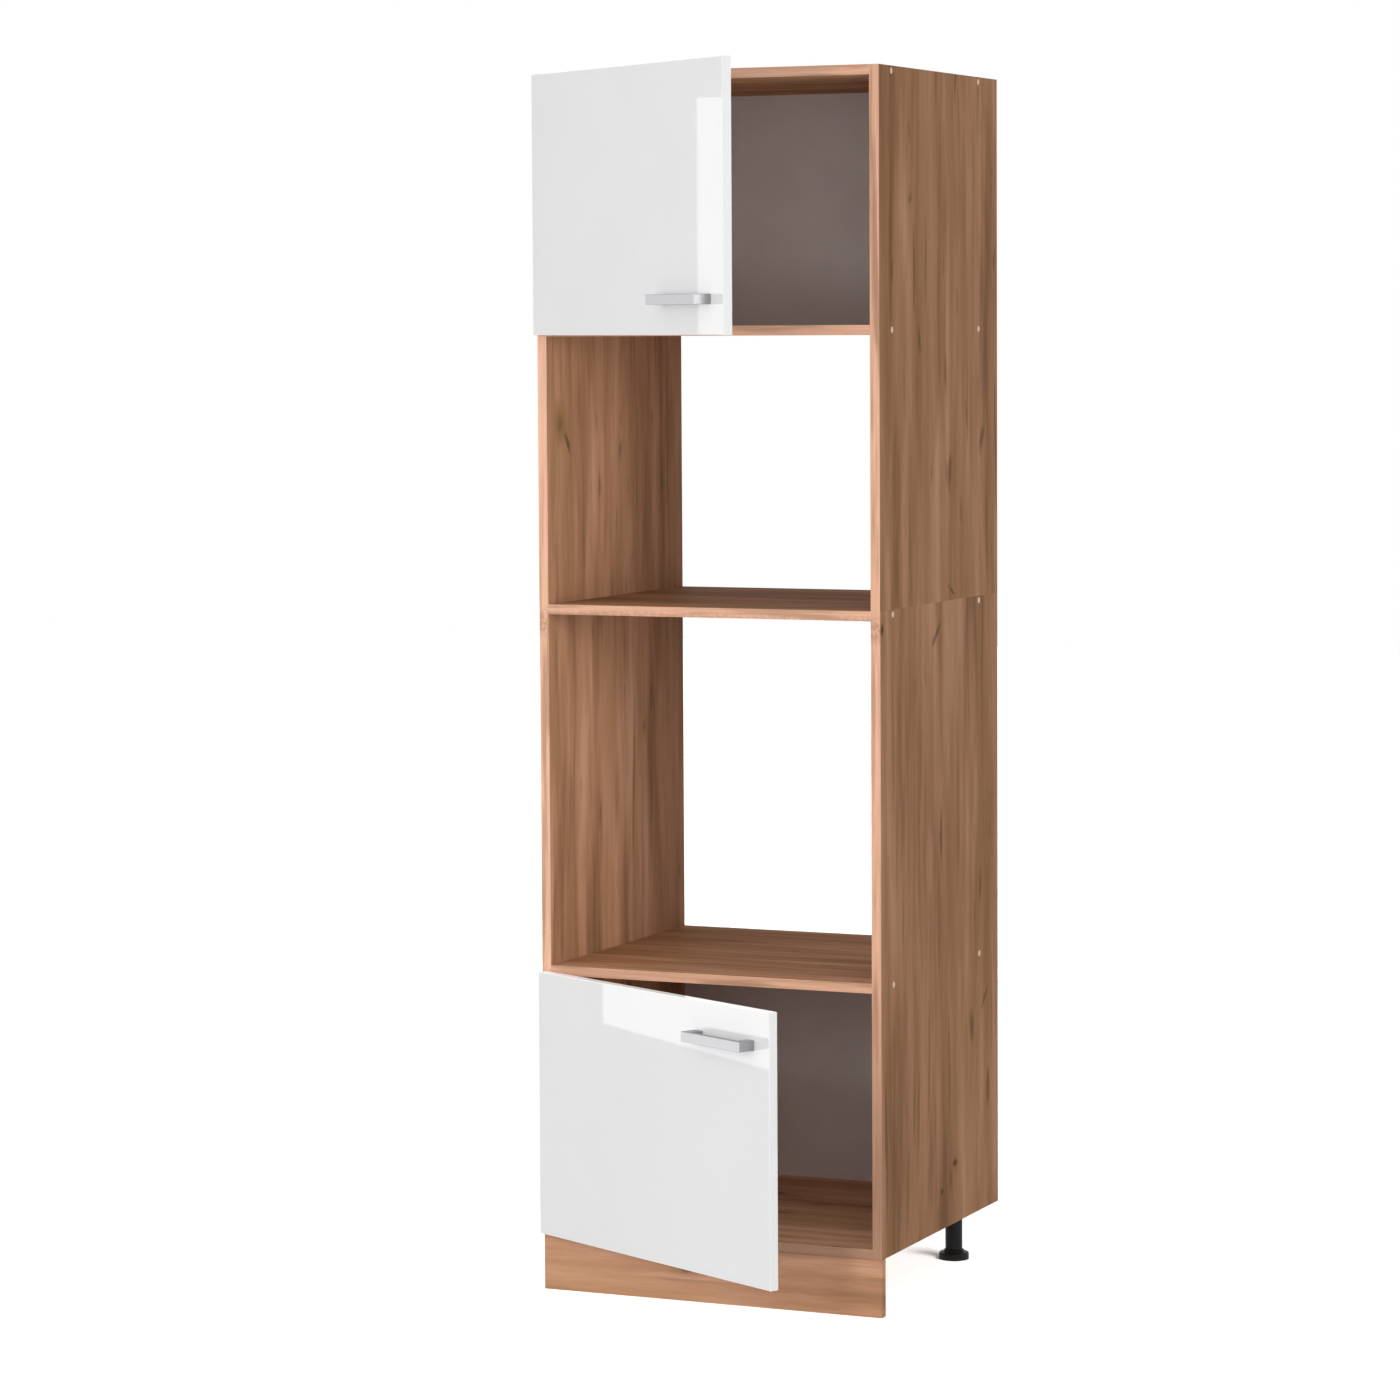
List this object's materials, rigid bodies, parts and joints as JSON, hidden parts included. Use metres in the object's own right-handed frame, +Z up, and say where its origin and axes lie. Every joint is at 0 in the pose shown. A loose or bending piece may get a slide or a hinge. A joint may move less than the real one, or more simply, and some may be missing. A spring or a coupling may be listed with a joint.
{
  "type": "microwave housing unit",
  "caption": "Tall kitchen housing unit with an open oven niche and an open microwave niche between an upper and a lower door compartment, on feet behind a plinth.",
  "frame": {"origin": "on the floor, at the centre of the carcass footprint", "axes": "+X to the right as seen from the front, +Y from the doors to the back, +Z up"},
  "size_m": [0.6016, 0.905, 2],
  "materials": {
    "decor_board": "satin wood decor on chipboard",
    "decor_edge": "satin wood decor strip",
    "back_board": "satin light grey board",
    "zinc_steel": "zinc-plated",
    "decor_cap": "satin",
    "beech": "raw",
    "zinc_casting": "cast zinc, matte",
    "black_plastic": "matte",
    "nickel_steel": "nickel-plated, bright",
    "white_gloss": "high-gloss white foil on board",
    "clear_bumper": "clear",
    "satin_aluminium": "satin"
  },
  "bodies": {
    "carcass": {"side_left_lower": "decor_board", "side_right_lower": "decor_board", "side_left_upper": "decor_board", "side_right_upper": "decor_board", "bottom_panel": "decor_board", "lower_shelf": "decor_board", "middle_shelf": "decor_board", "upper_shelf": "decor_board", "top_panel": "decor_board", "front_edge_bands": "decor_edge", "lower_back_panel": "back_board", "upper_back_panel": "back_board", "back_nails": "zinc_steel", "board_screws": "zinc_steel", "screw_caps": "decor_cap", "board_dowels": "beech", "seam_dowels": "beech", "cam_housings": "zinc_casting", "cam_bolts": "zinc_steel", "seam_plates": "zinc_steel", "plate_screws": "zinc_steel", "leg_sockets": "black_plastic", "leg_socket_screws": "zinc_steel", "leg_tubes": "black_plastic", "wall_brackets": "zinc_steel", "upper_hinge_arms": "nickel_steel", "upper_hinge_arm_pins": "nickel_steel", "upper_hinge_arm_screws": "nickel_steel", "upper_hinge_plates": "nickel_steel", "upper_hinge_plate_screws": "nickel_steel", "lower_hinge_arms": "nickel_steel", "lower_hinge_arm_pins": "nickel_steel", "lower_hinge_arm_screws": "nickel_steel", "lower_hinge_plates": "nickel_steel", "lower_hinge_plate_screws": "nickel_steel"},
    "upper_door_leaf": {"upper_door": "white_gloss", "upper_door_bumpers": "clear_bumper", "upper_handle": "satin_aluminium", "upper_handle_screws": "zinc_steel", "upper_hinge_cups": "nickel_steel", "upper_hinge_cup_screws": "nickel_steel", "upper_hinge_cup_pins": "nickel_steel"},
    "upper_outer_links": {"upper_hinge_outer_links": "nickel_steel"},
    "upper_inner_links": {"upper_hinge_inner_links": "nickel_steel"},
    "lower_door_leaf": {"lower_door": "white_gloss", "lower_door_bumpers": "clear_bumper", "lower_handle": "satin_aluminium", "lower_handle_screws": "zinc_steel", "lower_hinge_cups": "nickel_steel", "lower_hinge_cup_screws": "nickel_steel", "lower_hinge_cup_pins": "nickel_steel"},
    "lower_outer_links": {"lower_hinge_outer_links": "nickel_steel"},
    "lower_inner_links": {"lower_hinge_inner_links": "nickel_steel"},
    "foot_front_left": {"foot_front_left": "black_plastic"},
    "foot_front_right": {"foot_front_right": "black_plastic"},
    "foot_back_left": {"foot_back_left": "black_plastic"},
    "foot_back_right": {"foot_back_right": "black_plastic"},
    "plinth": {"plinth_panel": "decor_board", "plinth_clips": "black_plastic", "plinth_clip_screws": "zinc_steel"}
  },
  "joints": [
    {"name": "upper_outer_link_turn", "type": "hinge", "parent": "carcass", "child": "upper_outer_links", "pos_m": [-0.253, -0.2696, 1.787], "axis": [0, 0, -1], "range_deg": [-16.76, 9.88]},
    {"name": "upper_door_swing", "type": "hinge", "parent": "upper_outer_links", "child": "upper_door_leaf", "pos_m": [-0.28279, -0.28218, 1.787], "axis": [0, 0, -1], "range_deg": [-45.06, 76.54]},
    {"name": "upper_inner_link_turn", "type": "hinge", "parent": "upper_door_leaf", "child": "upper_inner_links", "pos_m": [-0.28019, -0.27851, 1.787], "axis": [0, 0, -1], "range_deg": [-83.14, 48.95]},
    {"name": "lower_outer_link_turn", "type": "hinge", "parent": "carcass", "child": "lower_outer_links", "pos_m": [-0.253, -0.2696, 0.31325], "axis": [0, 0, -1], "range_deg": [-18.92, 7.72]},
    {"name": "lower_door_swing", "type": "hinge", "parent": "lower_outer_links", "child": "lower_door_leaf", "pos_m": [-0.28324, -0.28105, 0.31325], "axis": [0, 0, -1], "range_deg": [-35.2, 86.4]},
    {"name": "lower_inner_link_turn", "type": "hinge", "parent": "lower_door_leaf", "child": "lower_inner_links", "pos_m": [-0.28116, -0.27706, 0.31325], "axis": [0, 0, -1], "range_deg": [-93.84, 38.24]},
    {"name": "foot_front_left_adjust", "type": "slide", "parent": "carcass", "child": "foot_front_left", "axis": [0, 0, -1], "range_m": [0, 0.02]},
    {"name": "foot_front_right_adjust", "type": "slide", "parent": "carcass", "child": "foot_front_right", "axis": [0, 0, -1], "range_m": [0, 0.02]},
    {"name": "foot_back_left_adjust", "type": "slide", "parent": "carcass", "child": "foot_back_left", "axis": [0, 0, -1], "range_m": [0, 0.02]},
    {"name": "foot_back_right_adjust", "type": "slide", "parent": "carcass", "child": "foot_back_right", "axis": [0, 0, -1], "range_m": [0, 0.02]},
    {"name": "plinth_pull", "type": "slide", "parent": "carcass", "child": "plinth", "axis": [0, -1, 0], "range_m": [0, 0.1]}
  ],
  "couplings": [
    {"joint": "upper_outer_link_turn", "follows": "upper_door_swing", "ratio": -0.21875},
    {"joint": "upper_inner_link_turn", "follows": "upper_door_swing", "ratio": -1.0859},
    {"joint": "lower_outer_link_turn", "follows": "lower_door_swing", "ratio": -0.21875},
    {"joint": "lower_inner_link_turn", "follows": "lower_door_swing", "ratio": -1.0859}
  ]
}
